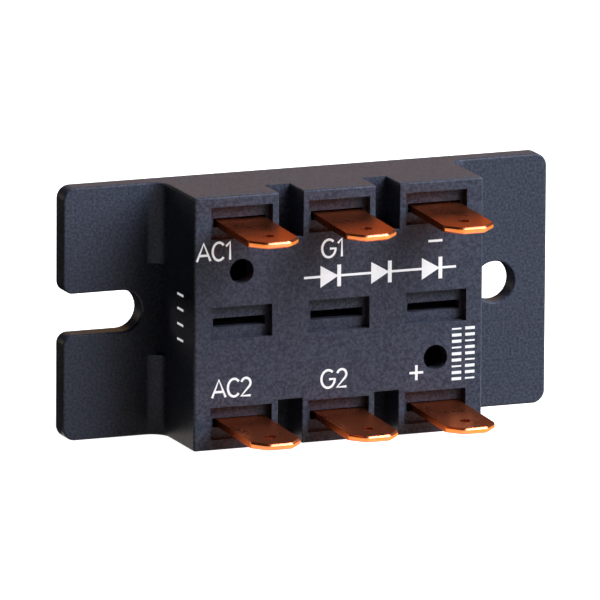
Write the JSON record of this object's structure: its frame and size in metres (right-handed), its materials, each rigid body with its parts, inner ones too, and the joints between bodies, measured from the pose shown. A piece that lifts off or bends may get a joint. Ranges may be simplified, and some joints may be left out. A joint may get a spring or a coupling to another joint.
{
  "type": "solid state relay",
  "caption": "Flat black potted power module with a slotted and holed mounting flange and two rows of copper quick-connect blades on its front face.",
  "frame": {"origin": "centre of the mounting face, on the back of the base plate", "axes": "+X along the flange from the slot to the round hole, +Y out of the back into the heat sink, +Z across the flange; the blades point along -Y"},
  "size_m": [0.0634, 0.0252, 0.0314],
  "materials": {
    "moulded_case": "fine-grained black moulded thermoset, satin",
    "terminal_copper": "bare stamped copper, lightly toned, satin",
    "plate_metal": "nickel-plated plate, fine lapped",
    "seal_adhesive": "cured silicone adhesive, matt",
    "solder": "solder, dull bright",
    "inner_copper": "etched or stamped copper, bright",
    "alumina": "white alumina, matt",
    "silicon": "passivated silicon, dark grey",
    "bond_wire": "drawn aluminium wire",
    "gel": "soft silicone gel, clear to milky",
    "epoxy": "black potting epoxy",
    "marking_ink": "white pad-printed ink, matt"
  },
  "bodies": {
    "root": {"housing": "moulded_case", "base_plate": "plate_metal", "base_seal": "seal_adhesive", "base_solder": "solder", "bottom_copper": "inner_copper", "ceramic_substrate": "alumina", "copper_pad_ac1": "inner_copper", "copper_pad_ac2": "inner_copper", "copper_pad_gate1": "inner_copper", "copper_pad_gate2": "inner_copper", "copper_pad_negative": "inner_copper", "copper_pad_positive": "inner_copper", "scr_die_1": "silicon", "scr_die_2": "silicon", "rectifier_die_1": "silicon", "rectifier_die_2": "silicon", "freewheel_die": "silicon", "die_solder": "solder", "scr_clip_1": "inner_copper", "scr_clip_2": "inner_copper", "rectifier_clip": "inner_copper", "freewheel_clip": "inner_copper", "gate_wire_1": "bond_wire", "gate_wire_2": "bond_wire", "terminal_ac1": "terminal_copper", "terminal_gate1": "terminal_copper", "terminal_negative": "terminal_copper", "terminal_ac2": "terminal_copper", "terminal_gate2": "terminal_copper", "terminal_positive": "terminal_copper", "terminal_solder": "solder", "potting_gel": "gel", "epoxy_cap": "epoxy"}
  },
  "joints": []
}
